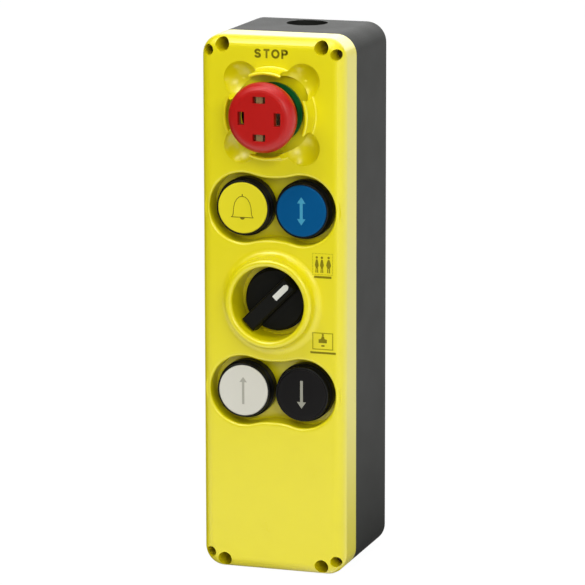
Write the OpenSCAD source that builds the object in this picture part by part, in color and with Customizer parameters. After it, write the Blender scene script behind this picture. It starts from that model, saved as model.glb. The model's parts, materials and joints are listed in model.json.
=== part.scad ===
// Inspection control station for the top of a lift car.
// Upright two-part plastic box with an emergency stop, four push buttons and
// a key-less selector switch. The origin is the centre of the rear mounting
// face, +Z is up and the controls face -Y. All sizes are in millimetres.

/* [Enclosure] */
// Width of the box
body_w = 73; // [71:0.5:100]
// Height of the box
body_h = 265; // [262:1:340]
// Depth from the front plane to the rear face
body_d = 70; // [66:1:100]
// Depth of the yellow cover
cover_d = 20; // [19:0.5:22]
// Corner radius seen from the front
corner_r = 10; // [8:0.5:12]
// Radius of the edge around the front face
front_r = 6; // [3:0.5:6.5]
// Wall thickness of cover and housing
wall_t = 3; // [2.5:0.5:3.5]
// Thickness of the rear wall
rear_t = 3.5; // [3:0.5:5]

/* [Fixings] */
// Width between the wall mounting holes
mount_w = 50; // [48:0.5:51]
// Distance of the wall mounting holes from the top and bottom edges
mount_edge = 4.5; // [4.4:0.1:5]
// Diameter of the wall mounting holes in the rear wall
mount_hole_d = 4.5; // [4:0.1:5.5]
// Diameter of the access holes in front of the mounting holes
access_d = 7; // [6.5:0.1:7.2]
// Width between the cover screws
screw_w = 64.6; // [63:0.2:65]
// Distance of the cover screws from the top and bottom edges
screw_edge = 7.5; // [7:0.1:8]
// Diameter of the cable entry in the top wall
entry_d = 20.5; // [16.5:0.1:20.8]
// Distance of the cable entry from the rear face
entry_back = 15; // [14.5:0.5:20]

/* [Control positions] */
// Distance of the emergency stop axis below the top edge
stop_top = 37; // [36:0.5:40]
// Vertical distance from the emergency stop to the upper button row
stop_row = 46.9; // [46:0.1:52]
// Vertical distance from the selector to each button row
row_pitch = 45.3; // [44.8:0.1:54]
// Horizontal distance between the two buttons of a row
pair_pitch = 30; // [29.2:0.1:31]

/* [Recesses] */
// Depth of the recess floors below the front plane
floor_w = 10; // [9.8:0.1:10.5]
// Depth of the floor around the emergency stop below the front plane
stop_floor = 4.7; // [4.6:0.1:7]
// Thickness of the panel that carries the control units
panel_t = 3; // [2:0.5:3]
// Radius of the round ends of a button recess
rec_r = 17.1; // [16.6:0.1:17.5]
// Half height of a button recess at its waist
waist_h = 15; // [14.4:0.1:15]
// Radius of the curves that narrow the waist
waist_r = 40; // [38:1:60]
// Rounding of the recess rims
rim_r = 1.5; // [0.8:0.1:2]
// Height of the collar around the emergency stop
collar_h = 10.5; // [8:0.5:12]
// Inner radius of the collar around the emergency stop
collar_r = 19.9; // [19.6:0.1:20.4]
// Radius of the finger scoops in the collar
scoop_r = 10; // [9.5:0.1:11]
// Distance of the finger scoops from the stop axis
scoop_c = 22.5; // [21.5:0.1:23]
// Width of the collar crest
crest_w = 1.6; // [1.4:0.1:2]
// Height of the guard ring around the selector
guard_h = 8; // [5:0.5:9]
// Inner radius of the guard ring around the selector
guard_r = 18.3; // [18:0.1:19]

/* [Control units] */
// Radius of the threaded sleeves
sleeve_r = 11; // [10.6:0.1:11]
// Radius of the button bezels
bezel_r = 14.4; // [14:0.1:14.5]
// Radius of the button caps
cap_r = 12.6; // [12:0.1:12.7]
// Depth of the bezel's shoulder below the front plane
bezel_w = 4; // [3.5:0.1:4.5]
// Width of the bezel's rim around a cap
bezel_rim = 0.7; // [0.5:0.1:0.8]
// Travel of a push button
cap_travel = 3.5; // [2.5:0.1:3.6]
// Radius of the emergency stop head
head_r = 17.1; // [16.5:0.1:18.5]
// Distance of the emergency stop face in front of the front plane
head_out = 19; // [18:0.5:21]
// Travel of the emergency stop
stop_travel = 4.5; // [3:0.1:4.5]
// Radius of the selector disc
knob_r = 15; // [14:0.1:15.2]
// Length of the selector lever behind the axis
lever_tail = 17.3; // [16:0.1:17.6]
// Width of the selector lever
lever_w = 9; // [7:0.5:10]

/* [Hidden] */
$fn = 96;
run = 0.08;
fit = 0.05;
stop_z = body_h - stop_top;
up_row_z = stop_z - stop_row;
sel_z = up_row_z - row_pitch;
down_row_z = sel_z - row_pitch;
stop_axis = [0, stop_z];
sel_axis = [0, sel_z];
bell_axis = [-pair_pitch / 2, up_row_z];
run_axis = [pair_pitch / 2, up_row_z];
up_axis = [-pair_pitch / 2, down_row_z];
down_axis = [pair_pitch / 2, down_row_z];
deep_axes = [sel_axis, bell_axis, run_axis, up_axis, down_axis];
panel_w = floor_w + panel_t;
bore_r = sleeve_r + 0.15;
rib_t = 2.5;
seal_t = 0.8;
seat_w = floor_w - seal_t;
stop_panel_w = stop_floor + panel_t;
stop_seat = stop_floor - seal_t;
stop_end = stop_panel_w + 9;
nut_t = 3.5;
nut_r = 13.9;
sleeve_end = panel_w + 9;
clip_w = sleeve_end - 4.5;
block_w = sleeve_end + 0.5;
block_d = 25;
cav_w = body_d - rear_t;
pad_x = 18.5;
pad_z = 13.5;
pad_c = 3;
scoop_w = 5 - scoop_r;
scoop_back = 8;
bezel_top = 0.2;
head_w = 10.6;
head_t = 2.4;

// Frame of a control unit: local z runs into the box from the front plane,
// local x is the box's x and local y points down.
module at(c) {
    translate([c[0], -body_d, c[1] - body_h / 2])
        rotate([-90, 0, 0])
            children();
}

module front() {
    at([0, body_h / 2])
        children();
}

module disc(r, w0, w1) {
    translate([0, 0, w0])
        cylinder(r = r, h = w1 - w0);
}

module tube(ro, ri, w0, w1) {
    difference() {
        disc(ro, w0, w1);
        disc(ri, w0 - 1, w1 + 1);
    }
}

module box(sx, sy, w0, w1) {
    translate([-sx / 2, -sy / 2, w0])
        cube([sx, sy, w1 - w0]);
}

module corners(w, h) {
    for (sx = [-1, 1])
        for (sy = [-1, 1])
            translate([sx * w / 2, sy * h / 2, 0])
                children();
}

// Inside outline of the box with solid pads in its corners, grown by k
function quadrant(k) =
    let(a = body_w / 2 - wall_t, b = body_h / 2 - wall_t,
        px = body_w / 2 - pad_x, pz = body_h / 2 - pad_z, s = sqrt(2) - 1)
    [[a + k, pz + k], [px + pad_c + k * s, pz + k], [px + k, pz + pad_c + k * s], [px + k, b + k]];
function flip(p, sx, sy) = [for (q = p) [sx * q[0], sy * q[1]]];
function back_to_front(p) = [for (i = [len(p) - 1:-1:0]) p[i]];
function cavity(k) = concat(quadrant(k), back_to_front(flip(quadrant(k), -1, 1)),
    flip(quadrant(k), -1, -1), back_to_front(flip(quadrant(k), 1, -1)));

// Quarter arc from angle a0 to a1 around c, as points
function arc(c, rx, ry, a0, a1, n) =
    [for (i = [0:n]) let(a = a0 + (a1 - a0) * i / n) [c[0] + rx * cos(a), c[1] + ry * sin(a)]];

// Cover

module cover_shell() {
    hull()
        corners(body_w - 2 * corner_r, body_h - 2 * corner_r) {
            rotate_extrude($fn = 48)
                polygon(concat([[0, 0]],
                    arc([corner_r - front_r, front_r], front_r, front_r, 270, 360, 8),
                    [[0, front_r]]));
            translate([0, 0, cover_d - 1])
                cylinder(r = corner_r, h = 1, $fn = 48);
        }
}

module lobe_cut() {
    rotate_extrude()
        polygon(concat([[0, -2], [rec_r + rim_r, -2]],
            arc([rec_r + rim_r, rim_r], rim_r, rim_r, 270, 180, 5),
            [[rec_r, floor_w], [0, floor_w]]));
}

module waist_post() {
    rotate_extrude()
        polygon(concat([[0, 0]],
            arc([waist_r - rim_r, rim_r], rim_r, rim_r, 270, 360, 5),
            [[waist_r, floor_w + 1], [0, floor_w + 1]]));
}

module pair_cut() {
    hx = pair_pitch / 2;
    reach = hx - rec_r * hx / sqrt(hx * hx + (waist_h + waist_r) * (waist_h + waist_r));
    translate([-hx, 0, 0])
        lobe_cut();
    translate([hx, 0, 0])
        lobe_cut();
    difference() {
        box(2 * reach, 2 * waist_h + 7, -2, floor_w);
        for (s = [-1, 1])
            translate([0, s * (waist_h + waist_r), 0])
                waist_post();
    }
}

module pair_tub() {
    hx = pair_pitch / 2;
    for (s = [-1, 1])
        translate([s * hx, 0, 0])
            disc(rec_r + rib_t, 1, panel_w);
    box(2 * hx, 2 * (waist_h + rib_t), 1, panel_w);
}

module collar_ring() {
    k = crest_w / 2;
    toe = collar_r + crest_w + 0.7;
    rotate_extrude()
        polygon(concat([[collar_r, 2]],
            arc([collar_r + k, -collar_h + k], k, k, 180, 355, 6),
            arc([toe + 1, -1], 1, 1, 175, 90, 4),
            [[toe + 1, 2]]));
}

module guard_ring() {
    c = guard_r + 1.9;
    rotate_extrude()
        polygon(concat([[guard_r, 2]],
            arc([c, -guard_h + 1.9], 1.9, 1.9, 180, 360, 8),
            arc([guard_r + 8, -guard_h + 3.4], 4, guard_h - 3.4, 180, 90, 7),
            [[guard_r + 8, 2]]));
}

module scoops() {
    for (sx = [-1, 1])
        for (sy = [-1, 1])
            translate([sx * scoop_c * 0.695, sy * scoop_c * 0.719, 0])
                children();
}

module cover() {
    color([0.93, 0.85, 0.1])
        difference() {
            union() {
                front()
                    difference() {
                        cover_shell();
                        translate([0, 0, wall_t])
                            linear_extrude(cover_d)
                                polygon(cavity(0));
                    }
                at(stop_axis) {
                    collar_ring();
                    disc(collar_r + rib_t, 1, stop_panel_w);
                    scoops()
                        disc(scoop_r + 0.8, 1, scoop_back);
                }
                at(sel_axis) {
                    guard_ring();
                    disc(guard_r + rib_t, 1, panel_w);
                }
                at([0, up_row_z])
                    pair_tub();
                at([0, down_row_z])
                    pair_tub();
            }
            at(stop_axis) {
                disc(collar_r, -collar_h - 2, stop_floor);
                scoops()
                    translate([0, 0, scoop_w])
                        sphere(r = scoop_r);
                disc(bore_r, stop_floor - 1, stop_panel_w + 1);
                disc(nut_r + 1.2, stop_panel_w, scoop_back + 1);
            }
            at(sel_axis)
                disc(guard_r, -guard_h - 2, floor_w);
            at([0, up_row_z])
                pair_cut();
            at([0, down_row_z])
                pair_cut();
            for (c = deep_axes)
                at(c)
                    disc(bore_r, floor_w - 1, panel_w + 1);
            front() {
                corners(mount_w, body_h - 2 * mount_edge)
                    disc(access_d / 2, -2, cover_d + 1);
                corners(screw_w, body_h - 2 * screw_edge) {
                    disc(2.7, -2, head_w + head_t);
                    disc(1.7, head_w + head_t - 1, cover_d + 1);
                }
            }
        }
}

// Housing, gasket and cover screws

module housing() {
    color([0.2, 0.2, 0.2])
        difference() {
            union() {
                front()
                    difference() {
                        hull()
                            corners(body_w - 2 * corner_r, body_h - 2 * corner_r) {
                                translate([0, 0, cover_d])
                                    cylinder(r = corner_r, h = body_d - cover_d - 1, $fn = 48);
                                translate([0, 0, cover_d])
                                    cylinder(r = corner_r - 1, h = body_d - cover_d, $fn = 48);
                            }
                        translate([0, 0, cover_d - 1])
                            linear_extrude(cav_w - cover_d + 1)
                                polygon(cavity(0));
                    }
                for (s = [-1, 1])
                    at([s * 20, 30])
                        disc(4, cav_w - 8, cav_w + 1);
                at([0, 52])
                    disc(5, cav_w - 3, cav_w + 1);
            }
            front() {
                corners(mount_w, body_h - 2 * mount_edge) {
                    disc(access_d / 2, cover_d - 1, cav_w - 3);
                    disc(mount_hole_d / 2, cav_w - 4, body_d + 1);
                }
                corners(screw_w, body_h - 2 * screw_edge)
                    disc(1.55, cover_d - 1, cover_d + 15);
                translate([0, 0, cover_d - 1])
                    linear_extrude(2.8)
                        difference() {
                            polygon(cavity(2));
                            polygon(cavity(0.8));
                        }
            }
            for (s = [-1, 1])
                at([s * 20, 30])
                    disc(1.5, cav_w - 9, cav_w - 1);
            at([0, 52])
                disc(2, cav_w - 4, cav_w + 1);
            translate([0, -entry_back, body_h / 2 - wall_t - 1])
                cylinder(r = entry_d / 2, h = wall_t + 2);
        }
}

module gasket() {
    color([0.12, 0.12, 0.12])
        front()
            translate([0, 0, cover_d])
                linear_extrude(1.8)
                    difference() {
                        polygon(cavity(1.9));
                        polygon(cavity(0.9));
                    }
}

module cover_screws() {
    color([0.75, 0.75, 0.75])
        front()
            corners(screw_w, body_h - 2 * screw_edge)
                difference() {
                    union() {
                        disc(2.5, head_w, head_w + head_t);
                        disc(1.5, head_w + head_t - 0.5, cover_d + 14);
                    }
                    for (a = [0, 90])
                        rotate([0, 0, a])
                            box(3.2, 0.7, head_w - 1, head_w + 1.2);
                }
}

// Hardware shared by all control units

module ring_nut(w0) {
    difference() {
        disc(nut_r, w0, w0 + nut_t);
        disc(sleeve_r + fit, w0 - 1, w0 + nut_t + 1);
        for (a = [0:45:315])
            rotate([0, 0, a])
                translate([nut_r, 0, w0 - 1])
                    cylinder(r = 1.6, h = nut_t + 2);
    }
}

module ring_nuts() {
    color([0.35, 0.35, 0.36]) {
        at(stop_axis)
            ring_nut(stop_panel_w);
        for (c = deep_axes)
            at(c)
                ring_nut(panel_w);
    }
}

module bezel_seals() {
    color([0.1, 0.1, 0.1]) {
        at(stop_axis)
            tube(13.6, bore_r, stop_seat, stop_floor);
        for (c = deep_axes)
            at(c)
                tube(13.6, bore_r, seat_w, floor_w);
    }
}

// Clip that joins a contact block to the sleeve
module clip(w0, w1) {
    difference() {
        union() {
            box(27, 24, w0, w1);
            translate([0, 15, 0])
                box(10, 7, w0, w1 - 1.5);
        }
        disc(sleeve_r + fit, w0 - 1, w1 + 1);
        translate([0, 16.5, 0])
            box(5, 1.6, w0 - 1, w1 + 1);
    }
}

// Contact block: a box with guides for its plungers and four screw terminals
module contact_block(w0, xs) {
    difference() {
        box(22, 34, w0, w0 + block_d);
        for (x = xs)
            translate([x, 0, 0]) {
                disc(2.9, w0 - 1, w0 + 20);
                box(5.8, 20, w0 + 5, w0 + 12);
            }
        for (sx = [-1, 1])
            for (sy = [-1, 1])
                translate([sx * 5.5, sy * 12.5, 0]) {
                    disc(2.6, w0 + 19, w0 + block_d + 1);
                    translate([0, sy * 4, 0])
                        box(5.2, 7, w0 + 14, w0 + 18.5);
                }
    }
    for (sx = [-1, 1])
        for (sy = [-1, 1])
            translate([sx * 5.5, sy * 12.5, 0])
                difference() {
                    disc(2.61, w0 + 18.9, w0 + 22.5);
                    box(3.8, 0.8, w0 + 21.5, w0 + 23);
                }
}

// Plunger with its contact bridge, from front face w0 to end w1
module plunger(w0, w1, bridge_w) {
    disc(2.8, w0, w1);
    box(3.2, 18, bridge_w, bridge_w + 1.2);
}

// Push buttons

module button_cap() {
    w0 = -0.2;
    difference() {
        rotate_extrude()
            polygon(concat([[0, w0]],
                arc([cap_r - 0.8, w0 + 0.8], 0.8, 0.8, 270, 360, 4),
                [[cap_r, bezel_w + 0.3], [0, bezel_w + 0.3]]));
        tube(cap_r - 2, 7.5, 1.6, bezel_w + 1);
    }
}

module button_body() {
    rim_out = cap_r + run + bezel_rim;
    difference() {
        union() {
            rotate_extrude()
                polygon([[0, bezel_top], [rim_out - 0.25, bezel_top], [rim_out, bezel_top + 0.25],
                    [rim_out + 0.2, bezel_w - 0.4], [bezel_r - 0.4, bezel_w], [bezel_r, bezel_w + 0.5],
                    [bezel_r, seat_w], [0, seat_w]]);
            disc(sleeve_r, seat_w - 1, sleeve_end);
        }
        disc(cap_r + run, bezel_top - 1, bezel_w + cap_travel + 0.6);
        disc(8.5, bezel_w + 3, sleeve_end - 4);
        disc(2.8 + run, sleeve_end - 5, sleeve_end - 1);
        disc(8.5, sleeve_end - 2, sleeve_end + 1);
    }
}

module button_stem() {
    w0 = bezel_w + 0.3;
    difference() {
        disc(8.5 - run, w0, w0 + 8);
        disc(7.4, w0 + 2, w0 + 9);
    }
    disc(2.8, w0 + 1, sleeve_end - 1.5);
}

module button_spring() {
    coil(6, 0.5, bezel_w + 2.3, sleeve_end - 4, 5);
}

module button_clip() {
    clip(clip_w, block_w);
}

module button_block() {
    contact_block(block_w, [0]);
}

module button_plunger() {
    plunger(sleeve_end - 1.5, block_w + 16, block_w + 6);
}

// Round wire coil from depth w0 to w1, as a swept six-sided section
function coil_point(r, w, a, k, wire) =
    let(e = 60 * k) [(r + wire * cos(e)) * cos(a), (r + wire * cos(e)) * sin(a), w + wire * sin(e)];

module coil(r, wire, w0, w1, turns) {
    n = 14 * turns;
    lead = (w1 - w0 - 2 * wire - 0.1) / n;
    pts = [for (i = [0:n]) for (k = [0:5])
        coil_point(r, w0 + wire + 0.05 + lead * i, 360 * i / 14, k, wire)];
    sides = [for (i = [0:n - 1]) for (k = [0:5])
        let(m = (k + 1) % 6) [6 * i + k, 6 * i + m, 6 * i + 6 + m, 6 * i + 6 + k]];
    polyhedron(points = pts,
        faces = concat([[5, 4, 3, 2, 1, 0]], sides, [[for (k = [0:5]) 6 * n + k]]));
}

module bell_cap() {
    color([0.93, 0.86, 0.12])
        at(bell_axis)
            button_cap();
}
module run_cap() {
    color([0, 0.33, 0.6])
        at(run_axis)
            button_cap();
}
module up_cap() {
    color([0.87, 0.86, 0.83])
        at(up_axis)
            button_cap();
}
module down_cap() {
    color([0.12, 0.12, 0.12])
        at(down_axis)
            button_cap();
}
module bell_stem() {
    color([0.8, 0.8, 0.8])
        at(bell_axis)
            button_stem();
}
module run_stem() {
    color([0.8, 0.8, 0.8])
        at(run_axis)
            button_stem();
}
module up_stem() {
    color([0.8, 0.8, 0.8])
        at(up_axis)
            button_stem();
}
module down_stem() {
    color([0.8, 0.8, 0.8])
        at(down_axis)
            button_stem();
}
module bell_body() {
    color([0.1, 0.1, 0.1])
        at(bell_axis)
            button_body();
}
module run_body() {
    color([0.1, 0.1, 0.1])
        at(run_axis)
            button_body();
}
module up_body() {
    color([0.1, 0.1, 0.1])
        at(up_axis)
            button_body();
}
module down_body() {
    color([0.1, 0.1, 0.1])
        at(down_axis)
            button_body();
}
module bell_spring() {
    color([0.7, 0.7, 0.72])
        at(bell_axis)
            button_spring();
}
module run_spring() {
    color([0.7, 0.7, 0.72])
        at(run_axis)
            button_spring();
}
module up_spring() {
    color([0.7, 0.7, 0.72])
        at(up_axis)
            button_spring();
}
module down_spring() {
    color([0.7, 0.7, 0.72])
        at(down_axis)
            button_spring();
}
module bell_clip() {
    color([0.2, 0.2, 0.2])
        at(bell_axis)
            button_clip();
}
module run_clip() {
    color([0.2, 0.2, 0.2])
        at(run_axis)
            button_clip();
}
module up_clip() {
    color([0.2, 0.2, 0.2])
        at(up_axis)
            button_clip();
}
module down_clip() {
    color([0.2, 0.2, 0.2])
        at(down_axis)
            button_clip();
}
module bell_block() {
    color([0.15, 0.45, 0.25])
        at(bell_axis)
            button_block();
}
module run_block() {
    color([0.15, 0.45, 0.25])
        at(run_axis)
            button_block();
}
module up_block() {
    color([0.15, 0.45, 0.25])
        at(up_axis)
            button_block();
}
module down_block() {
    color([0.15, 0.45, 0.25])
        at(down_axis)
            button_block();
}
module bell_plunger() {
    color([0.75, 0.5, 0.3])
        at(bell_axis)
            button_plunger();
}
module run_plunger() {
    color([0.75, 0.5, 0.3])
        at(run_axis)
            button_plunger();
}
module up_plunger() {
    color([0.75, 0.5, 0.3])
        at(up_axis)
            button_plunger();
}
module down_plunger() {
    color([0.75, 0.5, 0.3])
        at(down_axis)
            button_plunger();
}

// Emergency stop. The head twists on the shaft and both slide in the sleeve.

stop_sleeve_r = 12.4;
stop_bore_r = 9.2;
ring_w = 2;
head_back = -head_out + 8.5;
shoulder_w = -1;
carrier_clip_w = stop_end - 4.5;
carrier_w = stop_end + 11;
yoke_w = carrier_w - stop_travel - 3.5;
win_c = 9.1;
win_l = 6.4;
win_b = 3.3;

module stop_head() {
    color([0.8, 0.12, 0.13])
        at(stop_axis)
            difference() {
                rotate_extrude()
                    polygon(concat([[0, -head_out]],
                        arc([head_r - 5.2, -head_out + 5.6], 5.2, 5.6, 270, 360, 8),
                        [[head_r - 0.3, head_back - 1], [head_r - 1.2, head_back], [0, head_back]]));
                disc(14.2, -head_out + 3.4, head_back + 1);
                for (a = [0:90:270])
                    rotate([0, 0, a])
                        translate([0, win_c, 0])
                            box(win_l, win_b, -head_out - 1, -head_out + 4);
            }
}

module stop_window() {
    color([0.45, 0.47, 0.4])
        at(stop_axis)
            union() {
                difference() {
                    disc(14, -head_out + 3.4, -head_out + 4.6);
                    disc(5, -head_out + 3, -head_out + 5);
                    for (a = [90, 270])
                        rotate([0, 0, a])
                            translate([0, win_c, 0])
                                box(win_l - 0.4, win_b - 0.4, -head_out + 3, -head_out + 5);
                }
                for (a = [0, 180])
                    rotate([0, 0, a])
                        translate([0, win_c, 0])
                            box(win_l / 2, win_b - 2 * fit, -head_out + 0.8, -head_out + 4);
            }
}

module stop_ring() {
    color([0.05, 0.45, 0.2])
        at(stop_axis)
            tube(14.9, stop_sleeve_r + fit, ring_w, ring_w + 1.4);
}

module stop_body() {
    color([0.1, 0.1, 0.1])
        at(stop_axis)
            difference() {
                union() {
                    disc(14.8, ring_w + 1.4, stop_seat);
                    disc(stop_sleeve_r, head_back + 2.4, stop_seat);
                    disc(sleeve_r, stop_seat - 1, stop_end);
                }
                disc(stop_bore_r, head_back + 1, stop_end - 3);
                disc(4.2, stop_end - 4, stop_end + 1);
            }
}

module stop_shaft() {
    color([0.75, 0.75, 0.76])
        at(stop_axis)
            union() {
                disc(4.9, -head_out + 3.4, head_back + 3);
                disc(stop_bore_r - run, head_back + 2, shoulder_w);
                disc(4.2 - run, shoulder_w - 1, yoke_w + 1);
                box(34, 7, yoke_w, yoke_w + 3);
            }
}

module stop_spring() {
    color([0.7, 0.7, 0.72])
        at(stop_axis)
            coil(6.6, 0.7, shoulder_w, stop_end - 3, 6);
}

module stop_carrier() {
    color([0.2, 0.2, 0.2])
        at(stop_axis)
            difference() {
                union() {
                    box(44, 30, carrier_clip_w, carrier_clip_w + 4.5);
                    for (s = [-1, 1])
                        translate([0, s * 13, 0])
                            box(44, 4, carrier_clip_w + 4, carrier_w);
                }
                disc(sleeve_r + fit, carrier_clip_w - 1, carrier_clip_w + 5);
            }
}

module stop_block_left() {
    color([0.65, 0.12, 0.1])
        at(stop_axis)
            translate([-11.1, 0, 0])
                contact_block(carrier_w, [0]);
}

module stop_block_right() {
    color([0.65, 0.12, 0.1])
        at(stop_axis)
            translate([11.1, 0, 0])
                contact_block(carrier_w, [0]);
}

module stop_plungers() {
    color([0.75, 0.5, 0.3])
        at(stop_axis)
            for (s = [-1, 1])
                translate([s * 11.1, 0, 0])
                    plunger(yoke_w + 3, carrier_w + 15, carrier_w + 6);
}

// Selector switch. The knob is drawn with its lever at 45 degrees, up and right.

knob_w = 4.2;
lever_out = 2.8;
cam_w = sleeve_end - 6.5;
cam_rise = 3;
cam_x = 5.3;
cam_gap = 0.2;

module sel_knob() {
    color([0.08, 0.08, 0.08])
        at(sel_axis)
            rotate([0, 0, -45])
                difference() {
                    union() {
                        rotate_extrude()
                            polygon([[0, knob_w], [knob_r - 0.6, knob_w], [knob_r, knob_w + 0.6],
                                [knob_r, knob_w + 3], [0, knob_w + 3]]);
                        hull() {
                            translate([-lever_tail, -lever_w / 2, knob_w])
                                cube([lever_tail + 14, lever_w, 2.5]);
                            translate([-lever_tail + 1, -lever_w / 2 + 1.4, -lever_out])
                                cube([lever_tail + 12.2, lever_w - 2.8, 1]);
                            translate([-lever_tail + 0.4, -lever_w / 2 + 0.6, -lever_out + 0.9])
                                cube([lever_tail + 13.2, lever_w - 1.2, 1]);
                        }
                    }
                    translate([2.9, -1.5, -lever_out - 1])
                        cube([8.5, 3, 2]);
                    translate([11.4, 0, -lever_out - 1])
                        cylinder(r = 1.2, h = 2);
                }
}

module sel_pointer() {
    color([0.95, 0.95, 0.93])
        at(sel_axis)
            rotate([0, 0, -45])
                union() {
                    translate([2.95, -1.45, -lever_out - 0.1])
                        cube([8.4, 2.9, 1.1]);
                    translate([11.35, 0, -lever_out - 0.1])
                        cylinder(r = 1.2, h = 1.1);
                }
}

// The spindle ends in an oblique face. Each follower rides it at the distance cam_x
// from the axis, and a quarter turn moves it by cam_rise.
module sel_spindle() {
    color([0.75, 0.75, 0.76])
        at(sel_axis)
            difference() {
                disc(8.5 - run, knob_w + 3, cam_w + 6);
                translate([0, 0, cam_w + cam_rise / 2])
                    rotate([0, -atan(cam_rise / sqrt(2) / cam_x), 45])
                        translate([-20, -20, 0])
                            cube([40, 40, 12]);
            }
}

module sel_body() {
    color([0.1, 0.1, 0.1])
        at(sel_axis)
            difference() {
                union() {
                    disc(15.8, knob_w + 3.2, seat_w);
                    disc(sleeve_r, seat_w - 1, sleeve_end);
                }
                disc(8.5, knob_w + 2, sleeve_end + 1);
            }
}

module sel_clip() {
    color([0.2, 0.2, 0.2])
        at(sel_axis)
            clip(clip_w, block_w);
}

module sel_block() {
    color([0.15, 0.45, 0.25])
        at(sel_axis)
            contact_block(block_w, [-cam_x, cam_x]);
}

// Plunger with a thin round tip that follows the oblique face, pushed in by w
module follower(w) {
    translate([0, 0, cam_w + cam_gap + 1 + w])
        sphere(r = 1);
    disc(0.95, cam_w + cam_gap + 1 + w, block_w + w + 1.5);
    plunger(block_w + w + 0.5, block_w + w + 15, block_w + w + 6);
}

module sel_plunger_left() {
    color([0.75, 0.5, 0.3])
        at(sel_axis)
            translate([-cam_x, 0, 0])
                follower(0);
}

module sel_plunger_right() {
    color([0.75, 0.5, 0.3])
        at(sel_axis)
            translate([cam_x, 0, 0])
                follower(cam_rise);
}

// Terminals on the rear wall below the controls

module terminal_strip() {
    color([0.75, 0.74, 0.7])
        at([0, 30])
            difference() {
                union() {
                    box(50, 12, cav_w - 11, cav_w - 8);
                    box(32, 12, cav_w - 22, cav_w - 10);
                }
                for (i = [-2:2])
                    translate([i * 6, 0, 0]) {
                        translate([0, 3, 0])
                            disc(1.8, cav_w - 23, cav_w - 15);
                        translate([0, -3, 0])
                            disc(1.8, cav_w - 23, cav_w - 15);
                        box(3.6, 14, cav_w - 18.5, cav_w - 15);
                    }
                for (s = [-1, 1])
                    translate([s * 20, 0, 0])
                        disc(1.8, cav_w - 12, cav_w - 7);
            }
}

module strip_screws() {
    color([0.75, 0.75, 0.75])
        for (s = [-1, 1])
            at([s * 20, 30]) {
                disc(3, cav_w - 13, cav_w - 11);
                disc(1.45, cav_w - 11.5, cav_w - 2);
            }
}

module earth_stud() {
    color([0.8, 0.7, 0.35])
        at([0, 52]) {
            disc(1.95, cav_w - 12, cav_w);
            disc(4.5, cav_w - 6, cav_w - 3);
        }
}

cover();
housing();
gasket();
cover_screws();
ring_nuts();
bezel_seals();
stop_head();
stop_window();
stop_ring();
stop_body();
stop_shaft();
stop_spring();
stop_carrier();
stop_block_left();
stop_block_right();
stop_plungers();
bell_cap();
bell_stem();
bell_body();
bell_spring();
bell_clip();
bell_block();
bell_plunger();
run_cap();
run_stem();
run_body();
run_spring();
run_clip();
run_block();
run_plunger();
up_cap();
up_stem();
up_body();
up_spring();
up_clip();
up_block();
up_plunger();
down_cap();
down_stem();
down_body();
down_spring();
down_clip();
down_block();
down_plunger();
sel_knob();
sel_pointer();
sel_spindle();
sel_body();
sel_clip();
sel_block();
sel_plunger_left();
sel_plunger_right();
terminal_strip();
strip_screws();
earth_stud();
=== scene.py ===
import bpy
import bmesh
import json
import math
from mathutils import Matrix, Vector


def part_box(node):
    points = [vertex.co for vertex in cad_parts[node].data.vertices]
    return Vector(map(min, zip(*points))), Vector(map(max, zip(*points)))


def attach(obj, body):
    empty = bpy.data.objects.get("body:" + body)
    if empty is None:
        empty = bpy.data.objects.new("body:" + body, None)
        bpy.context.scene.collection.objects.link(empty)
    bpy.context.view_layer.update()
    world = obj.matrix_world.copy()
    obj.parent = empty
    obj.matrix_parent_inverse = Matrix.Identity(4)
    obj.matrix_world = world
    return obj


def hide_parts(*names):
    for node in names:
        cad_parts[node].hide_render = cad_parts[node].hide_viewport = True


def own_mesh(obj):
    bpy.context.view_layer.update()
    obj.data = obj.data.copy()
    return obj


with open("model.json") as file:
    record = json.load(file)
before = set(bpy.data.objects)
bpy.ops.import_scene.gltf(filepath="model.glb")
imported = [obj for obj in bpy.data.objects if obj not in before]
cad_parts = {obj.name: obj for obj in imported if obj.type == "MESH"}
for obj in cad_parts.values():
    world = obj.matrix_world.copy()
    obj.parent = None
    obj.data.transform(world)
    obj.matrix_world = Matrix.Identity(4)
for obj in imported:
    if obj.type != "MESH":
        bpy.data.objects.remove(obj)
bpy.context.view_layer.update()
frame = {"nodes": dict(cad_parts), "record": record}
nodes = frame["nodes"]

# Sizes and places in mm: x across, y in depth with the front negative, z up.
MM = 0.001
FRONT = -70.0
HALF_HEIGHT = 132.5
UPPER_ROW_Z = 48.6
SELECTOR_Z = 3.3
LOWER_ROW_Z = -42.0
PAIR_X = 15.0
CAP_FACE = -70.2
GUARD_FOOT_R = 26.3
GUARD_FOOT_WIDTH = 4.0
GUARD_FOOT_RISE = 4.6
MARK_GAP = 0.01
MARK_THICK = 0.05
LETTER_THICK = 0.06


def linear(r, g, b):
    """A colour given as 0..255 screen values, as linear light."""
    out = []
    for v in (r, g, b):
        c = v / 255
        out.append(c / 12.92 if c <= 0.04045 else ((c + 0.055) / 1.055) ** 2.4)
    return (*out, 1.0)


def socket(tree, name, way, kind, value=None):
    made = tree.interface.new_socket(name=name, in_out=way, socket_type=kind)
    if value is not None:
        made.default_value = value
    return made


def put(tree, kind, values=None, **settings):
    """A new node of a tree, with its settings and the values of its own inputs."""
    made = tree.nodes.new(kind)
    for name, value in settings.items():
        setattr(made, name, value)
    for name, value in (values or {}).items():
        made.inputs[name].default_value = value
    return made


# Shader groups

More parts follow.
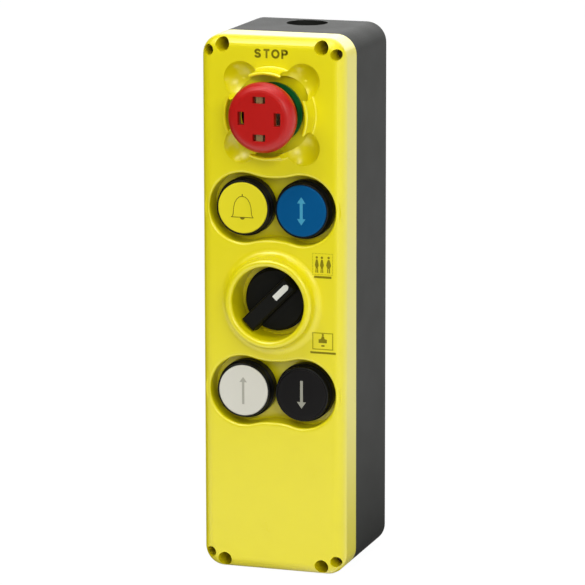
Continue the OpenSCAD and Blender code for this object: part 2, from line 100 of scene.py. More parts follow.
def moulded_skin():
    """Grain, tone and flow marks of a moulded plastic surface."""
    tree = bpy.data.node_groups.new("moulded skin", "ShaderNodeTree")
    socket(tree, "Grain Scale", "INPUT", "NodeSocketFloat", 2600)
    socket(tree, "Wave Scale", "INPUT", "NodeSocketFloat", 60)
    for name in ("Height", "Tone", "Gloss"):
        socket(tree, name, "OUTPUT", "NodeSocketFloat")
    link = tree.links.new
    given, result = put(tree, "NodeGroupInput"), put(tree, "NodeGroupOutput")
    place = put(tree, "ShaderNodeTexCoord")
    grain = put(tree, "ShaderNodeTexNoise", {"Detail": 3, "Roughness": 0.55})
    wave = put(tree, "ShaderNodeTexNoise", {"Detail": 2})
    speck = put(tree, "ShaderNodeTexVoronoi")
    for texture in (grain, wave, speck):
        link(place.outputs["Object"], texture.inputs["Vector"])
    for texture in (grain, speck):
        link(given.outputs["Grain Scale"], texture.inputs["Scale"])
    link(given.outputs["Wave Scale"], wave.inputs["Scale"])
    relief = put(tree, "ShaderNodeMath", {1: 0.35}, operation="MULTIPLY_ADD")
    link(speck.outputs["Distance"], relief.inputs[0])
    link(grain.outputs["Fac"], relief.inputs[2])
    half_wave = put(tree, "ShaderNodeMath", {1: 0.5}, operation="MULTIPLY")
    link(wave.outputs["Fac"], half_wave.inputs[0])
    gloss = put(tree, "ShaderNodeMath", {1: 0.5}, operation="MULTIPLY_ADD")
    link(grain.outputs["Fac"], gloss.inputs[0])
    link(half_wave.outputs[0], gloss.inputs[2])
    link(relief.outputs[0], result.inputs["Height"])
    link(wave.outputs["Fac"], result.inputs["Tone"])
    link(gloss.outputs[0], result.inputs["Gloss"])
    return tree


def turned_marks():
    """Fine rings and scratches of turned or drawn metal, around the depth axis."""
    tree = bpy.data.node_groups.new("turned marks", "ShaderNodeTree")
    socket(tree, "Scale", "INPUT", "NodeSocketFloat", 1500)
    for name in ("Height", "Tone"):
        socket(tree, name, "OUTPUT", "NodeSocketFloat")
    link = tree.links.new
    given, result = put(tree, "NodeGroupInput"), put(tree, "NodeGroupOutput")
    place = put(tree, "ShaderNodeTexCoord")
    stretch = put(tree, "ShaderNodeMapping", {"Scale": (0.15, 1.0, 0.15)})
    fine = put(tree, "ShaderNodeTexNoise", {"Detail": 4})
    broad = put(tree, "ShaderNodeTexNoise", {"Scale": 180})
    link(place.outputs["Object"], stretch.inputs["Vector"])
    link(stretch.outputs[0], fine.inputs["Vector"])
    link(given.outputs["Scale"], fine.inputs["Scale"])
    link(place.outputs["Object"], broad.inputs["Vector"])
    link(fine.outputs["Fac"], result.inputs["Height"])
    link(broad.outputs["Fac"], result.inputs["Tone"])
    return tree


SKIN = moulded_skin()
TURNED = turned_marks()


def grained(name, group, scales, shade, light, gloss, roughness, bump, relief):
    """Material that a group moves: its colour from shade to light, its roughness and its relief."""
    material = bpy.data.materials.new(name)
    material.use_nodes = True
    tree = material.node_tree
    link = tree.links.new
    surface = tree.nodes["Principled BSDF"]
    marks = put(tree, "ShaderNodeGroup", scales, node_tree=group)
    colour = put(tree, "ShaderNodeMix", {"A": linear(*shade), "B": linear(*light)}, data_type="RGBA")
    link(marks.outputs["Tone"], colour.inputs["Factor"])
    link(colour.outputs["Result"], surface.inputs["Base Color"])
    output, low, high = gloss
    span = put(tree, "ShaderNodeMapRange", {"From Min": low, "From Max": high,
                                            "To Min": roughness[0], "To Max": roughness[1]})
    link(marks.outputs[output], span.inputs["Value"])
    link(span.outputs["Result"], surface.inputs["Roughness"])
    raised = put(tree, "ShaderNodeBump", {"Strength": bump, "Distance": relief})
    link(marks.outputs["Height"], raised.inputs["Height"])
    link(raised.outputs["Normal"], surface.inputs["Normal"])
    return material, surface


def plastic(name, shade, light, rough, gloss_swing=0.12, grain=2600, wave=60, bump=0.12, specular=0.5):
    """Moulded plastic: its gloss moves with the grain."""
    roughness = (rough - gloss_swing / 2, rough + gloss_swing / 2)
    material, surface = grained(name, SKIN, {"Grain Scale": grain, "Wave Scale": wave}, shade, light,
                                ("Gloss", 0.25, 0.75), roughness, bump, 0.0002)
    surface.inputs["Specular IOR Level"].default_value = specular
    return material


def metal(name, shade, light, rough):
    """Turned or drawn metal."""
    material, surface = grained(name, TURNED, {"Scale": 1500}, shade, light,
                                ("Height", 0.0, 1.0), (rough - 0.08, rough + 0.08), 0.1, 0.0001)
    surface.inputs["Metallic"].default_value = 1.0
    return material


def print_ink(name, shade, light):
    return plastic(name, shade, light, 0.55, grain=3500, wave=400, bump=0.1, specular=0.15)


cover_yellow = plastic("cover yellow", (227, 214, 3), (232, 220, 6), 0.28,
                       gloss_swing=0.02, grain=2400, bump=0.03, specular=0.52)
housing_black = plastic("housing black", (27, 28, 26), (34, 35, 32), 0.54, grain=2000, bump=0.15, specular=0.07)
operator_black = plastic("operator black", (14, 14, 14), (19, 19, 19), 0.35, bump=0.05, specular=0.1)
knob_black = plastic("knob black", (17, 17, 15), (23, 23, 21), 0.36, bump=0.08, specular=0.06)
stop_red = plastic("stop red", (176, 17, 13), (184, 21, 17), 0.32, bump=0.05, specular=0.25)
ring_green = plastic("ring green", (4, 84, 36), (8, 100, 44), 0.35, specular=0.3)
window_tan = plastic("window tan", (128, 102, 66), (140, 114, 76), 0.4, specular=0.3)
cap_yellow = plastic("cap yellow", (226, 214, 34), (231, 219, 44), 0.38, bump=0.05, specular=0.12)
cap_blue = plastic("cap blue", (2, 79, 130), (4, 85, 140), 0.35, bump=0.05, specular=0.06)
cap_white = plastic("cap white", (212, 210, 198), (219, 217, 206), 0.38, bump=0.05, specular=0.12)
cap_black = plastic("cap black", (21, 20, 20), (28, 27, 27), 0.38, bump=0.05, specular=0.04)
pointer_white = plastic("pointer white", (214, 215, 207), (222, 223, 216), 0.4, bump=0.04, specular=0.2)
clip_black = plastic("clip black", (48, 48, 50), (58, 58, 60), 0.5)
block_red = plastic("block red", (170, 40, 34), (182, 48, 40), 0.5)
block_green = plastic("block green", (40, 112, 66), (48, 122, 74), 0.5)
plunger_amber = plastic("plunger amber", (190, 140, 80), (200, 150, 90), 0.45)
strip_grey = plastic("strip grey", (186, 184, 174), (196, 194, 184), 0.5)
nut_grey = plastic("nut grey", (70, 70, 72), (82, 82, 84), 0.5)
seal_black = plastic("seal rubber", (26, 26, 26), (34, 34, 34), 0.75, bump=0.3)
zinc_steel = metal("zinc steel", (176, 176, 172), (200, 200, 198), 0.3)
spring_steel = metal("spring steel", (170, 170, 174), (196, 196, 200), 0.25)
stem_metal = metal("stem metal", (190, 190, 194), (206, 206, 210), 0.35)
screw_steel = metal("screw steel", (84, 74, 56), (108, 96, 74), 0.45)
brass = metal("brass", (200, 168, 90), (214, 184, 108), 0.3)
olive_ink = print_ink("olive ink", (124, 114, 8), (136, 126, 14))
pale_olive_ink = print_ink("pale olive ink", (160, 150, 10), (170, 160, 16))
bell_ink = print_ink("bell ink", (112, 102, 12), (124, 114, 18))
pale_blue_ink = print_ink("pale blue ink", (64, 150, 184), (72, 160, 192))
grey_ink = print_ink("grey ink", (168, 166, 154), (176, 174, 162))
pale_grey_ink = print_ink("pale grey ink", (150, 149, 136), (160, 159, 146))

FINISH = {
    "cover": cover_yellow, "housing": housing_black, "gasket": seal_black, "cover_screws": screw_steel,
    "ring_nuts": nut_grey, "bezel_seals": seal_black, "stop_head": stop_red, "stop_window": window_tan,
    "stop_ring": ring_green, "stop_body": operator_black, "stop_shaft": stem_metal, "stop_spring": spring_steel,
    "stop_carrier": clip_black, "stop_block_left": block_red, "stop_block_right": block_red,
    "stop_plungers": plunger_amber, "sel_knob": knob_black, "sel_pointer": pointer_white,
    "sel_spindle": stem_metal, "sel_body": operator_black, "sel_clip": clip_black, "sel_block": block_green,
    "sel_plunger_left": plunger_amber, "sel_plunger_right": plunger_amber, "terminal_strip": strip_grey,
    "strip_screws": zinc_steel, "earth_stud": brass,
    "bell_cap": cap_yellow, "run_cap": cap_blue, "up_cap": cap_white, "down_cap": cap_black,
}
BUTTON_FINISH = {"stem": stem_metal, "body": operator_black, "spring": spring_steel,
                 "clip": clip_black, "block": block_green, "plunger": plunger_amber}
for unit in ("bell", "run", "up", "down"):
    FINISH.update({unit + "_" + piece: material for piece, material in BUTTON_FINISH.items()})
for name, obj in nodes.items():
    obj.data.materials.clear()
    obj.data.materials.append(FINISH[name])


# Meshes and pieces

def plain_mesh(name, holder):
    """Plain mesh of an object as it is evaluated; the object goes."""
    bpy.context.scene.collection.objects.link(holder)
    bpy.context.view_layer.update()
    mesh = bpy.data.meshes.new_from_object(holder.evaluated_get(bpy.context.evaluated_depsgraph_get()))
    bpy.data.objects.remove(holder)
    mesh.name = name
    return mesh


def grown_mesh(name, tree, ids, sizes):
    """Plain mesh that a geometry tree makes with these sizes in its inputs."""
    holder = bpy.data.objects.new(name + " holder", bpy.data.meshes.new(name + " seed"))
    growth = holder.modifiers.new("growth", "NODES")
    growth.node_group = tree
    for size, value in sizes.items():
        growth[ids[size]] = value
    return plain_mesh(name, holder)


def geometry_tree(name, sizes):
    """Geometry tree with these sizes as its inputs, and their identifiers."""
    tree = bpy.data.node_groups.new(name, "GeometryNodeTree")
    ids = {size: socket(tree, size, "INPUT", "NodeSocketFloat", value).identifier for size, value in sizes.items()}
    socket(tree, "Geometry", "OUTPUT", "NodeSocketGeometry")
    return tree, ids


def finished(tree, geometry, material):
    """The end of a geometry tree: real geometry in its material."""
    real = put(tree, "GeometryNodeRealizeInstances")
    coated = put(tree, "GeometryNodeSetMaterial", {"Material": material})
    result = put(tree, "NodeGroupOutput")
    tree.links.new(geometry, real.inputs["Geometry"])
    tree.links.new(real.outputs["Geometry"], coated.inputs["Geometry"])
    tree.links.new(coated.outputs["Geometry"], result.inputs["Geometry"])


def piece(name, mesh, body, slot, material=None):
    """The finished piece of a mesh, riding on a body."""
    if material:
        mesh.materials.clear()
        mesh.materials.append(material)
    obj = bpy.data.objects.new(name, mesh)
    bpy.context.scene.collection.objects.link(obj)
    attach(obj, body)
    return obj


def faced_outwards(mesh, bm):
    bmesh.ops.recalc_face_normals(bm, faces=bm.faces)
    bm.to_mesh(mesh)
    bm.free()
    return mesh


def standing(x, y, z):
    """Turns a flat outline into the front plane and brings it to a place in m."""
    return Matrix.Translation((x, y, z)) @ Matrix.Rotation(math.pi / 2, 4, "X")


# Springs

BUTTON_WIRE = 0.5
STOP_WIRE = 0.7
SPRING_TURNS = 6.0
SPRING_PLAY = 0.02


def wound_spring_tree():
    """Round wire wound on a cylinder, its turns closer together at both ends."""
    tree, ids = geometry_tree("wound spring", {"Turns": SPRING_TURNS, "Radius": 0.006, "Wire": BUTTON_WIRE * MM,
                                               "Length": 0.0105, "Evenness": 0.65})
    link = tree.links.new
    given = put(tree, "NodeGroupInput")
    wound = put(tree, "GeometryNodeCurveSpiral", {"Resolution": 28, "Height": 0})
    link(given.outputs["Radius"], wound.inputs["Start Radius"])
    link(given.outputs["Radius"], wound.inputs["End Radius"])
    link(given.outputs["Turns"], wound.inputs["Rotations"])
    along = put(tree, "GeometryNodeSplineParameter")
    eased = put(tree, "ShaderNodeMapRange", interpolation_type="SMOOTHSTEP")
    pitch = put(tree, "ShaderNodeMix")
    link(along.outputs["Factor"], eased.inputs["Value"])
    link(given.outputs["Evenness"], pitch.inputs["Factor"])
    link(eased.outputs["Result"], pitch.inputs["A"])
    link(along.outputs["Factor"], pitch.inputs["B"])
    rise = put(tree, "ShaderNodeMath", operation="MULTIPLY")
    link(pitch.outputs["Result"], rise.inputs[0])
    link(given.outputs["Length"], rise.inputs[1])
    lift = put(tree, "ShaderNodeCombineXYZ")
    link(rise.outputs[0], lift.inputs["Z"])
    drawn_out = put(tree, "GeometryNodeSetPosition")
    link(wound.outputs["Curve"], drawn_out.inputs["Geometry"])
    link(lift.outputs[0], drawn_out.inputs["Offset"])
    section = put(tree, "GeometryNodeCurvePrimitiveCircle", {"Resolution": 10})
    link(given.outputs["Wire"], section.inputs["Radius"])
    wire = put(tree, "GeometryNodeCurveToMesh", {"Fill Caps": True})
    link(drawn_out.outputs["Geometry"], wire.inputs["Curve"])
    link(section.outputs["Curve"], wire.inputs["Profile Curve"])
    finished(tree, wire.outputs["Mesh"], spring_steel)
    return tree, ids


def wound_spring(tree, ids, node, wire):
    """A spring of the node's outer size and place, which stands in for the node."""
    low, high = (Vector(corner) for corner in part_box(node))
    inset = (wire + SPRING_PLAY) * MM
    mesh = grown_mesh(node + "_wire", tree, ids, {
        "Turns": SPRING_TURNS, "Radius": (high.x - low.x) / 2 - inset, "Wire": wire * MM,
        "Length": high.y - low.y - 2 * inset})
    mesh.transform(standing((low.x + high.x) / 2, high.y - inset, (low.z + high.z) / 2))
    bm = bmesh.new()
    bm.from_mesh(mesh)
    bmesh.ops.remove_doubles(bm, verts=bm.verts, dist=1e-7)
    obj = piece(node + "_wire", faced_outwards(mesh, bm), "box", "spring_steel")
    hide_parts(node)
    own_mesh(obj)


def springs():
    """Every spring that the record ties to a joint, from its node's outer size."""
    tree, ids = wound_spring_tree()
    for joint in frame["record"]["behaviour"]["joints"]:
        for spring in joint.get("deforming_nodes") or []:
            wire = STOP_WIRE if spring["node"] == "stop_spring" else BUTTON_WIRE
            wound_spring(tree, ids, spring["node"], wire)


# Printed and moulded marks, from outlines in x, z

def rect(x0, z0, x1, z1):
    return [(x0, z0), (x1, z0), (x1, z1), (x0, z1)]


def ring_points(x, z, rx, rz=None, n=24, a0=0.0, a1=360.0, ends=False):
    """Points round an ellipse or along a part of it, with its last point where ends is set."""
    rz = rx if rz is None else rz
    steps = n - 1 if ends else n
    angles = [math.radians(a0 + (a1 - a0) * i / steps) for i in range(n)]
    return [(x + rx * math.cos(a), z + rz * math.sin(a)) for a in angles]


def line_strips(points, width):
    """Quads of the given width along a run of points, each a little long to close its corners."""
    quads = []
    for (ax, az), (bx, bz) in zip(points, points[1:]):
        d = math.hypot(bx - ax, bz - az)
        ux, uz = (bx - ax) / d * width * 0.5, (bz - az) / d * width * 0.5
        ax, az, bx, bz = ax - ux * 0.5, az - uz * 0.5, bx + ux * 0.5, bz + uz * 0.5
        quads.append([(ax - uz, az + ux), (ax + uz, az - ux), (bx + uz, bz - ux), (bx - uz, bz + ux)])
    return quads


def even_line(points, n):
    """Every leg of a run of points in n equal steps."""
    out = []
    for (ax, az), (bx, bz) in zip(points, points[1:]):
        out += [(ax + (bx - ax) * i / n, az + (bz - az) * i / n) for i in range(n)]
    return out


def flat_mark(name, outlines, depth, material, body, slot):
    """Thin raised mark from closed outlines that don't overlap."""
    curve = bpy.data.curves.new(name, "CURVE")
    curve.dimensions = "2D"
    curve.fill_mode = "BOTH"
    curve.extrude = MARK_THICK / 2 * MM
    for points in outlines:
        line = curve.splines.new("POLY")
        line.points.add(len(points) - 1)
        for q, (x, z) in zip(line.points, points):
            q.co = (x * MM, z * MM, 0, 1)
        line.use_cyclic_u = True
    mesh = plain_mesh(name, bpy.data.objects.new(name + " outline", curve))
    bm = bmesh.new()
    bm.from_mesh(mesh)
    bmesh.ops.remove_doubles(bm, verts=bm.verts, dist=1e-6)
    bmesh.ops.transform(bm, matrix=standing(0, (depth - MARK_THICK / 2) * MM, 0), verts=bm.verts)
    piece(name, faced_outwards(mesh, bm), body, slot, material)


def thickened(name, bm, faces, thick):
    """Closed plates from faces, thickened towards the front."""
    outside = bmesh.ops.extrude_face_region(bm, geom=faces)
    for v in outside["geom"]:
        if isinstance(v, bmesh.types.BMVert):
            v.co.y -= thick * MM
    return faced_outwards(bpy.data.meshes.new(name), bm)


def solid_mark(name, outlines, depth, thick, material, body, slot):
    """Thin plates from convex outlines, which may overlap: every other one lies a hair further out."""
    hair = 0.001
    bm = bmesh.new()
    faces = []
    for k, points in enumerate(outlines):
        area = sum(a[0] * b[1] - b[0] * a[1] for a, b in zip(points, points[1:] + points[:1]))
        points = points if area > 0 else points[::-1]
        y = depth - hair * (k % 2)
        faces.append(bm.faces.new([bm.verts.new((x * MM, y * MM, z * MM)) for x, z in points]))
    piece(name, thickened(name, bm, faces, thick), body, slot, material)


def guard_foot(x, z):
    """Height of the guard ring's soft foot over the front plane, in mm."""
    inside = GUARD_FOOT_R - math.hypot(x, z - SELECTOR_Z)
    share = min(1.0, max(0.0, inside / GUARD_FOOT_WIDTH))
    return GUARD_FOOT_RISE * (1 - math.sqrt(1 - share ** 2))


def laid_band(name, one, other, material, closed):
    """Thin plate between two lines of as many points, laid on the front and the guard's foot."""
    bm = bmesh.new()
    rows = [[bm.verts.new((x * MM, (FRONT - MARK_GAP - guard_foot(x, z)) * MM, z * MM)) for x, z in line]
            for line in (one, other)]
    around = [(i, (i + 1) % len(one)) for i in range(len(one) if closed else len(one) - 1)]
    faces = [bm.faces.new((rows[0][i], rows[0][j], rows[1][j], rows[1][i])) for i, j in around]
    piece(name, thickened(name, bm, faces, MARK_THICK), "box", "yellow_plastic", material)


def bowl(x, z, rx, rz, a0, a1, n=15):
    """Centre line of a round stroke of a letter."""
    return ring_points(x, z, rx, rz, n, a0, a1, ends=True)


def stop_word():
    """The four letters as strokes of one width over a common foot line."""
    line, wide, high = 122.15, 1.0, 4.5
    top = line + high - wide / 2
    foot = line + wide / 2
    mid = line + high / 2
    waist = mid - 0.1
    s_x, t_x, o_x, p_x = -6.95, -2.45, 2.05, 6.75
    s_line = (bowl(s_x, (top + mid) / 2, 1.12, (top - mid) / 2, 20, 270)
              + bowl(s_x, (mid + foot) / 2, 1.18, (mid - foot) / 2, 90, -160)[1:])
    t_bar = rect(t_x - 1.5, top - wide / 2, t_x + 1.5, top + wide / 2)
    t_stem = rect(t_x - wide / 2, line, t_x + wide / 2, top)
    o_line = bowl(o_x, mid, 1.62, (top - foot) / 2, 0, 360, 33)
    p_stem = rect(p_x - 1.75, line, p_x - 1.75 + wide, line + high)
    p_line = ([(p_x - 1.45, top)] + bowl(p_x, (top + waist) / 2, 1.15, (top - waist) / 2, 90, -90)
              + [(p_x - 1.45, waist)])
    strokes = (line_strips(s_line, wide) + [t_bar, t_stem] + line_strips(o_line, wide)
               + [p_stem] + line_strips(p_line, wide))
    solid_mark("stop_word", strokes, FRONT - MARK_GAP, LETTER_THICK, olive_ink, "box", "yellow_plastic")


def bell_mark():
    """Outline of a bell with its nub, and a filled clapper."""
    x0, z0 = -PAIR_X, UPPER_ROW_Z
    stroke = 0.34
    left = [(-5.6, -4.6), (-5.1, -4.1), (-4.75, -3.2), (-4.6, -1.9), (-4.4, 0.4),
            (-3.8, 2.6), (-2.8, 4.3), (-1.5, 5.4), (0, 5.75)]
    dome = [(x0 + x, z0 + z) for x, z in left + [(-x, z) for x, z in left[-2::-1]]]
    nub = rect(x0 - 0.25, z0 + 5.6, x0 + 0.25, z0 + 6.8)
    clapper = ring_points(x0, z0 - 4.6, 1.2, 1.15, 12, 180, 360, ends=True)
    strokes = line_strips(dome + dome[:1], stroke) + [nub, clapper]
    solid_mark("bell_mark", strokes, CAP_FACE - MARK_GAP, MARK_THICK, bell_ink, "bell_button", "cap_yellow")


def arrow(x, z_tail, z_tip, shaft, head, head_h, both=False):
    """Outline of an upright arrow, with a head at its tail too where both is set."""
    s = 1 if z_tip > z_tail else -1
    neck = z_tip - s * head_h
    points = [(x - shaft / 2, neck), (x - head / 2, neck), (x, z_tip), (x + head / 2, neck), (x + shaft / 2, neck)]
    if both:
        low = z_tail + s * head_h
        points += [(x + shaft / 2, low), (x + head / 2, low), (x, z_tail), (x - head / 2, low), (x - shaft / 2, low)]
    else:
        points += [(x + shaft / 2, z_tail), (x - shaft / 2, z_tail)]
    return points


def cap_arrows():
    depth = CAP_FACE - MARK_GAP
    flat_mark("run_mark", [arrow(PAIR_X, UPPER_ROW_Z - 6.9, UPPER_ROW_Z + 6.9, 1.5, 4.3, 3.1, both=True)],
              depth, pale_blue_ink, "run_button", "cap_blue")
    flat_mark("up_mark", [arrow(-PAIR_X, LOWER_ROW_Z - 6.8, LOWER_ROW_Z + 6.8, 1.2, 3.9, 2.6)],
              depth, grey_ink, "up_button", "cap_white")
    flat_mark("down_mark", [arrow(PAIR_X, LOWER_ROW_Z + 6.9, LOWER_ROW_Z - 6.9, 1.4, 4.6, 3.2)],
              depth, pale_grey_ink, "down_button", "cap_black")


def standing_figure(x, z, h, broad):
    """Head, tapered trunk and legs of a plain standing figure of height h on the line z."""
    head = ring_points(x, z + h * 0.92, h * 0.075, n=12)
    right = [(0.05, 0.8), (broad * 0.75, 0.62), (broad, 0.45), (broad * 0.55, 0.3), (0.09, 0.0), (0.02, 0.0),
             (0.02, 0.26)]
    trunk = [(x + h * u, z + h * v) for u, v in right] + [(x - h * u, z + h * v) for u, v in right[::-1]]
    return [head, trunk]


def dotted_frame(name, x0, z0, x1, z1, dot, pitch):
    """Frame of small square dots that follow a rectangle, one every pitch."""
    sizes = {"Width": (x1 - x0) * MM, "Height": (z1 - z0) * MM, "Pitch": pitch * MM, "Dot": dot * MM,
             "Thickness": MARK_THICK * MM}
    tree, ids = geometry_tree("dotted frame", sizes)
    link = tree.links.new
    given = put(tree, "NodeGroupInput")
    path = put(tree, "GeometryNodeCurvePrimitiveQuadrilateral")
    spaced = put(tree, "GeometryNodeResampleCurve", mode="LENGTH")
    size = put(tree, "ShaderNodeCombineXYZ")
    plate = put(tree, "GeometryNodeMeshCube")
    placed = put(tree, "GeometryNodeInstanceOnPoints")
    link(given.outputs["Width"], path.inputs["Width"])
    link(given.outputs["Height"], path.inputs["Height"])
    link(given.outputs["Pitch"], spaced.inputs["Length"])
    link(path.outputs["Curve"], spaced.inputs["Curve"])
    link(given.outputs["Dot"], size.inputs["X"])
    link(given.outputs["Dot"], size.inputs["Y"])
    link(given.outputs["Thickness"], size.inputs["Z"])
    link(size.outputs[0], plate.inputs["Size"])
    link(spaced.outputs["Curve"], placed.inputs["Points"])
    link(plate.outputs["Mesh"], placed.inputs["Instance"])
    finished(tree, placed.outputs["Instances"], pale_olive_ink)
    mesh = grown_mesh(name, tree, ids, sizes)
    middle = FRONT - MARK_GAP / 2 - MARK_THICK / 2
    mesh.transform(standing((x0 + x1) / 2 * MM, middle * MM, (z0 + z1) / 2 * MM))
    for v in mesh.vertices:
        v.co.y -= guard_foot(v.co.x / MM, v.co.z / MM) * MM
    piece(name, mesh, "box", "yellow_plastic")


def pictograms():
    """Three figures in a dotted frame over a bar, and one in a lined frame, heights from the box's foot."""
    z = -HALF_HEIGHT
    depth = FRONT - MARK_GAP
    people = (standing_figure(22.8, z + 151.5, 8.1, 0.12) + standing_figure(25.4, z + 151.5, 8.1, 0.12)
              + standing_figure(28.8, z + 151.5, 8.2, 0.15))
    flat_mark("upper_pictogram", people, depth, olive_ink, "box", "yellow_plastic")
    low, high = (even_line([(21.5, z + h), (30.2, z + h)], 18) + [(30.2, z + h)] for h in (148.8, 149.9))
    laid_band("upper_bar", low, high, olive_ink, False)
    dotted_frame("pictogram_dots", 20.7, z + 150.6, 30.8, z + 160.9, 0.34, 0.74)
    outer, inner = rect(20.5, z + 113.5, 31.1, z + 122.0), rect(21.0, z + 114.0, 30.6, z + 121.5)
    outer, inner = (even_line(line + line[:1], 20) for line in (outer, inner))
    laid_band("lower_frame", outer, inner, pale_olive_ink, True)
    head = ring_points(25.85, z + 120.9, 0.55, n=12)
    trunk = [(25.4, z + 120.3), (26.3, z + 120.3), (26.8, z + 118.9), (27.9, z + 118.6),
             (27.9, z + 116.9), (23.7, z + 116.9), (23.7, z + 118.6), (24.9, z + 118.9)]
    plinth = [(25.1, z + 115.9), (26.7, z + 115.9), (26.7, z + 115.1), (25.1, z + 115.1)]
    bar = rect(19.5, z + 111.5, 32.4, z + 112.5)
    flat_mark("lower_pictogram", [head, trunk, plinth, bar], depth, olive_ink, "box", "yellow_plastic")


springs()
stop_word()
bell_mark()
cap_arrows()
pictograms()


# Floor, light and camera

# How bright plastic mirrors its surroundings: three sides round the box (front, right, rear),
# each with its own strength by the distance on the floor in m, and by the height of a direction in the room.
FLOOR_GLOW = 7.0
ROOM_GLOW = 5.0
SIDES = [
    (0.0, (0, 0, 0)), (0.05, (1, 0, 0)), (0.28, (1, 0, 0)), (0.35, (0, 1, 0)),
    (0.62, (0, 1, 0)), (0.67, (0, 0, 1)), (0.8, (0, 0, 1)), (0.9, (0, 0, 0)),
]
# Close to the box these strengths fall low: painted shade of the box on the floor, seen only where plastic mirrors
# the floor.
REACHES = [
    (0.0, (0.03, 0.06, 0.01)), (0.06, (0.07, 0.12, 0.01)), (0.12, (0.38, 0.36, 0.03)), (0.2, (0.42, 0.42, 0.09)),
    (0.36, (0.37, 0.44, 0.18)), (0.6, (0.11, 0.44, 0.19)), (0.85, (0.02, 0.44, 0.19)), (1.0, (0.0, 0.44, 0.19)),
]
HEIGHTS = [
    (0.0, (0, 0.4, 0.2)), (0.1, (0, 0.4, 0.2)), (0.2, (0, 0.3, 0.8)), (0.3, (0, 0.2, 0.8)),
    (0.5, (0.2, 0, 0.5)), (0.75, (1, 0.2, 0.5)), (1.0, (0.8, 0.5, 0.5)),
]
FLOOR_REACH = 12.0
FLOOR_DROP = 0.0002
FLOOR_WHITE = 1.08
FLOOR_WHITE_SHARE = 0.9
ROOM_LIGHT = 0.45
BOX_MIDDLE = (0, -0.04, 0)
SOFTBOXES = [
    ("key", (0.860, -1.431, 0.674), 0.9, 0.6, 9),
    ("right", (1.350, -0.779, 0.900), 0.6, 0.6, 1.7),
    ("left front", (-0.514, -0.891, 1.226), 0.4, 0.4, 3.8),
    ("top", (0.034, -0.126, 1.494), 0.8, 0.8, 5.6),
    ("top front", (0.000, -0.376, 0.706), 0.4, 0.3, 0.95),
]
CAMERA_PLACE = (579.7, -1785.4, 376.6)
CAMERA_AZIMUTH, CAMERA_ELEVATION, CAMERA_ROLL = 18.359, 11.514, -0.107
FOCAL_PIXELS, FRAME_PIXELS, SENSOR = 3811.3, 585, 36


def filled_ramp(tree, stops):
    ramp = put(tree, "ShaderNodeValToRGB")
    elements = ramp.color_ramp.elements
    while len(elements) < len(stops):
        elements.new(0.5)
    for element, (at, colour) in zip(elements, stops):
        element.position = at
        element.color = (*colour, 1)
    return ramp


def mirrored_strength(tree, way, measure, profile, strength):
    """Strength from the way round the box and a measure that the profile grades for each side."""
    link = tree.links.new
    around = put(tree, "ShaderNodeTexGradient", gradient_type="RADIAL")
    side, graded = filled_ramp(tree, SIDES), filled_ramp(tree, profile)
    power = put(tree, "ShaderNodeVectorMath", operation="DOT_PRODUCT")
    strong = put(tree, "ShaderNodeMath", {1: strength}, operation="MULTIPLY")
    link(way, around.inputs["Vector"])
    link(around.outputs["Fac"], side.inputs["Fac"])
    link(measure, graded.inputs["Fac"])
    link(side.outputs["Color"], power.inputs[0])
    link(graded.outputs["Color"], power.inputs[1])
    link(power.outputs["Value"], strong.inputs[0])
    return strong.outputs[0]


def chosen(tree, share, one, other):
    """Mix of two shaders, the second by the share."""
    mix = put(tree, "ShaderNodeMixShader")
    for k, source in enumerate((share, one, other)):
        tree.links.new(source, mix.inputs[k])
    return mix.outputs[0]


def floor():
    """Pale sweep: white to the camera, and graded where plastic mirrors it."""
    mesh = bpy.data.meshes.new("floor")
    s, z = FLOOR_REACH, -HALF_HEIGHT * MM - FLOOR_DROP
    mesh.from_pydata([(-s, -s, z), (s, -s, z), (s, s, z), (-s, s, z)], [], [(0, 1, 2, 3)])
    material = bpy.data.materials.new("floor")
    material.use_nodes = True
    tree = material.node_tree
    link = tree.links.new
    surface = tree.nodes["Principled BSDF"]
    surface.inputs["Base Color"].default_value = (0.62, 0.62, 0.61, 1)
    surface.inputs["Roughness"].default_value = 0.9
    surface.inputs["Specular IOR Level"].default_value = 0.1
    place = put(tree, "ShaderNodeTexCoord")
    foot = put(tree, "ShaderNodeMapping", {"Location": (-0.036, 0.065, 0.0)})
    away = put(tree, "ShaderNodeVectorMath", operation="LENGTH")
    link(place.outputs["Object"], foot.inputs["Vector"])
    link(foot.outputs["Vector"], away.inputs[0])
    mirrored = put(tree, "ShaderNodeEmission")
    link(mirrored_strength(tree, foot.outputs["Vector"], away.outputs["Value"], REACHES, FLOOR_GLOW),
         mirrored.inputs["Strength"])
    white = put(tree, "ShaderNodeEmission", {"Color": (1, 1, 1, 1), "Strength": FLOOR_WHITE})
    path = put(tree, "ShaderNodeLightPath")
    share = put(tree, "ShaderNodeMath", {1: FLOOR_WHITE_SHARE}, operation="MULTIPLY")
    link(path.outputs["Is Camera Ray"], share.inputs[0])
    shiny = chosen(tree, path.outputs["Is Glossy Ray"], surface.outputs[0], mirrored.outputs[0])
    link(chosen(tree, share.outputs[0], shiny, white.outputs[0]), tree.nodes["Material Output"].inputs["Surface"])
    mesh.materials.append(material)
    obj = bpy.data.objects.new("floor", mesh)
    bpy.context.scene.collection.objects.link(obj)


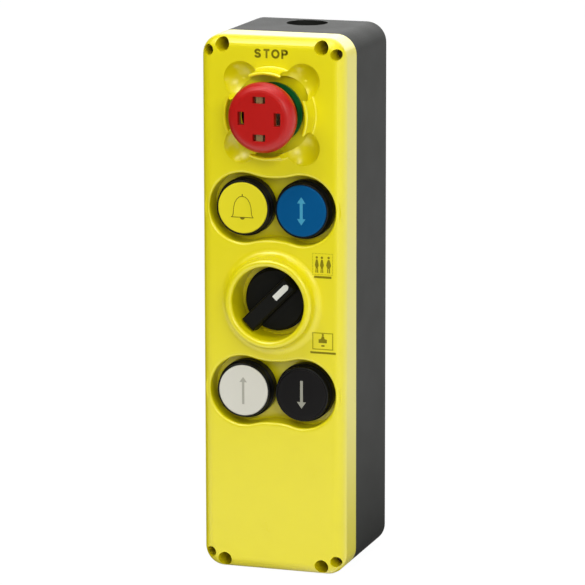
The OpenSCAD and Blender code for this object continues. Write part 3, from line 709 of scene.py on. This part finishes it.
def white_room():
    """White to the camera, plain light on all sides, and to mirroring plastic a bright ceiling and rear."""
    world = bpy.data.worlds.new("white room")
    bpy.context.scene.world = world
    world.use_nodes = True
    tree = world.node_tree
    tree.nodes.clear()
    link = tree.links.new
    seen = put(tree, "ShaderNodeBackground", {"Color": (1, 1, 1, 1)})
    light = put(tree, "ShaderNodeBackground", {"Color": (1, 1, 1, 1), "Strength": ROOM_LIGHT})
    mirrored = put(tree, "ShaderNodeBackground", {"Color": (1, 1, 1, 1)})
    way = put(tree, "ShaderNodeTexCoord")
    split = put(tree, "ShaderNodeSeparateXYZ")
    link(way.outputs["Generated"], split.inputs[0])
    link(mirrored_strength(tree, way.outputs["Generated"], split.outputs["Z"], HEIGHTS, ROOM_GLOW),
         mirrored.inputs["Strength"])
    path = put(tree, "ShaderNodeLightPath")
    direct = put(tree, "ShaderNodeMath", operation="MAXIMUM")
    link(path.outputs["Is Camera Ray"], direct.inputs[0])
    link(path.outputs["Is Transmission Ray"], direct.inputs[1])
    lit = chosen(tree, path.outputs["Is Glossy Ray"], light.outputs[0], mirrored.outputs[0])
    everything = chosen(tree, direct.outputs[0], lit, seen.outputs[0])
    link(everything, put(tree, "ShaderNodeOutputWorld").inputs["Surface"])


def softbox(name, place, wide, high, watts):
    """Lamp that looks at the middle of the box."""
    lamp = bpy.data.lights.new(name, "AREA")
    lamp.shape = "RECTANGLE"
    lamp.size, lamp.size_y = wide, high
    lamp.energy = watts
    obj = bpy.data.objects.new(name, lamp)
    bpy.context.scene.collection.objects.link(obj)
    obj.location = place
    obj.rotation_mode = "QUATERNION"
    obj.rotation_quaternion = (Vector(BOX_MIDDLE) - Vector(place)).to_track_quat("-Z", "Y")


def photo_camera():
    cam = bpy.data.cameras.new("camera")
    cam.sensor_width = SENSOR
    cam.lens = FOCAL_PIXELS / FRAME_PIXELS * SENSOR
    cam.clip_start, cam.clip_end = 0.05, 60
    obj = bpy.data.objects.new("camera", cam)
    bpy.context.scene.collection.objects.link(obj)
    azimuth, elevation, roll = (math.radians(a) for a in (CAMERA_AZIMUTH, CAMERA_ELEVATION, CAMERA_ROLL))
    right = Vector((math.cos(azimuth), math.sin(azimuth), 0))
    back = Vector((math.sin(azimuth) * math.cos(elevation), -math.cos(azimuth) * math.cos(elevation),
                   math.sin(elevation)))
    up = back.cross(right)
    right, up = right * math.cos(roll) + up * math.sin(roll), up * math.cos(roll) - right * math.sin(roll)
    turn = Matrix((right, up, back)).transposed().to_4x4()
    obj.matrix_world = Matrix.Translation(Vector(CAMERA_PLACE) * MM) @ turn
    bpy.context.scene.camera = obj


floor()
white_room()
for box in SOFTBOXES:
    softbox(*box)
photo_camera()
bpy.context.scene.view_settings.view_transform = "Standard"
